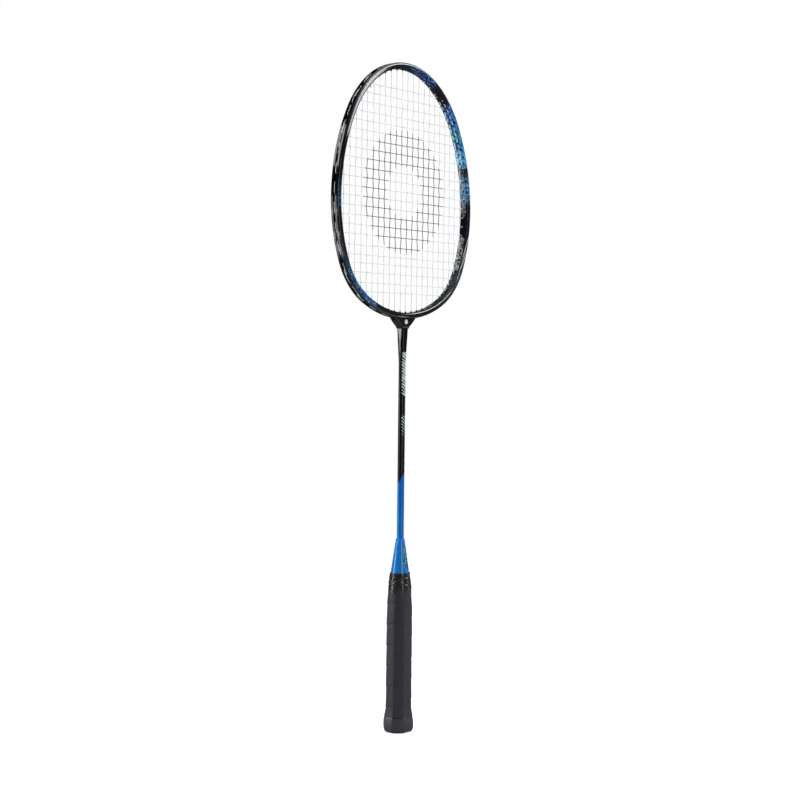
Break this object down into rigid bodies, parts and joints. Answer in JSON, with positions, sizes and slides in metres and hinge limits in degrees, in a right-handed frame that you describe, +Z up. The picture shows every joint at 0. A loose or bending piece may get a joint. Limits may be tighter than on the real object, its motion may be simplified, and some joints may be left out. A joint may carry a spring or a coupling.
{
  "type": "badminton racket",
  "caption": "Slim racket with an oval strung head, thin round shaft, tapered cone and an octagonal wrapped handle with a flared end cap.",
  "frame": {"origin": "middle of the flat end of the butt cap, the lowest face when the racket stands on its butt", "axes": "+Z runs up the shaft to the top of the head, X is the width of the head, Y is square to the strings"},
  "size_m": [0.203, 0.0288, 0.675],
  "materials": {
    "carbon_gloss": "clear gloss lacquer over black carbon fibre",
    "tee_composite": "moulded fibre composite, as moulded",
    "shaft_lacquer": "clear gloss lacquer, black fading to blue",
    "foam_plug": "light closed cell foam",
    "handle_wood": "bare light hardwood",
    "cone_plastic": "glossy moulded blue plastic",
    "collar_film": "glossy black finishing tape",
    "grip_polyurethane": "dark grey cushioned synthetic grip, dry touch",
    "plated_steel": "zinc plated wire",
    "cap_plastic": "satin black moulded plastic",
    "badge_plastic": "plain black disc",
    "string_nylon": "white multifilament nylon, lightly coated",
    "grommet_nylon": "black moulded nylon"
  },
  "bodies": {
    "root": {"head_frame": "carbon_gloss", "throat_tee": "carbon_gloss", "tee_insert": "tee_composite", "shaft": "shaft_lacquer", "shaft_end_plug": "foam_plug", "handle_core": "handle_wood", "cone": "cone_plastic", "collar_tape": "collar_film", "grip_wrap": "grip_polyurethane", "grip_tack": "plated_steel", "butt_cap": "cap_plastic", "cap_staples": "plated_steel", "butt_badge": "badge_plastic", "main_string": "string_nylon", "cross_string": "string_nylon", "main_knots": "string_nylon", "cross_knots": "string_nylon", "top_grommets": "grommet_nylon", "throat_grommets": "grommet_nylon", "left_grommets": "grommet_nylon", "right_grommets": "grommet_nylon", "tie_off_grommets": "grommet_nylon"}
  },
  "joints": []
}
